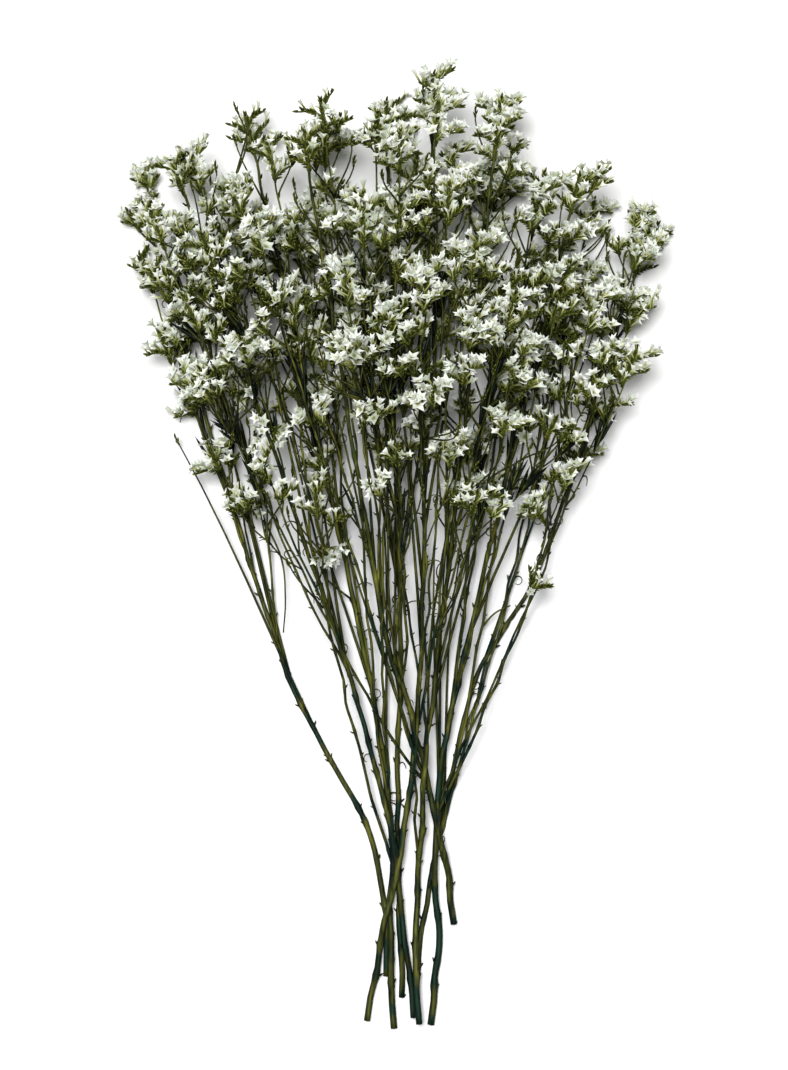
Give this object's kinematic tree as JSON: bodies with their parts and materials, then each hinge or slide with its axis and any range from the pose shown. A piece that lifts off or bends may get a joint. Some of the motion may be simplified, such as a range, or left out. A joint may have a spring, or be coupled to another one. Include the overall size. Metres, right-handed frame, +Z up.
{
  "type": "dried statice bunch",
  "caption": "Loose bunch of dried white statice that lies on a surface, with a fan-shaped crown of papery star florets.",
  "frame": {"origin": "centre of the bounding box at the surface that the bunch lies on", "axes": "+Z up from the surface, +Y along the stems towards the flowers, +X to the right seen from above with the flowers away from the viewer"},
  "size_m": [0.2792, 0.4979, 0.1204],
  "materials": {
    "dried_stem": "dry, fibrous, olive green"
  },
  "bodies": {
    "root": {"flowering_stem_1": "dried_stem", "flowering_stem_2": "dried_stem", "flowering_stem_3": "dried_stem", "flowering_stem_4": "dried_stem", "flowering_stem_5": "dried_stem", "flowering_stem_6": "dried_stem", "flowering_stem_7": "dried_stem", "flowering_stem_8": "dried_stem", "flowering_stem_9": "dried_stem"}
  },
  "joints": []
}
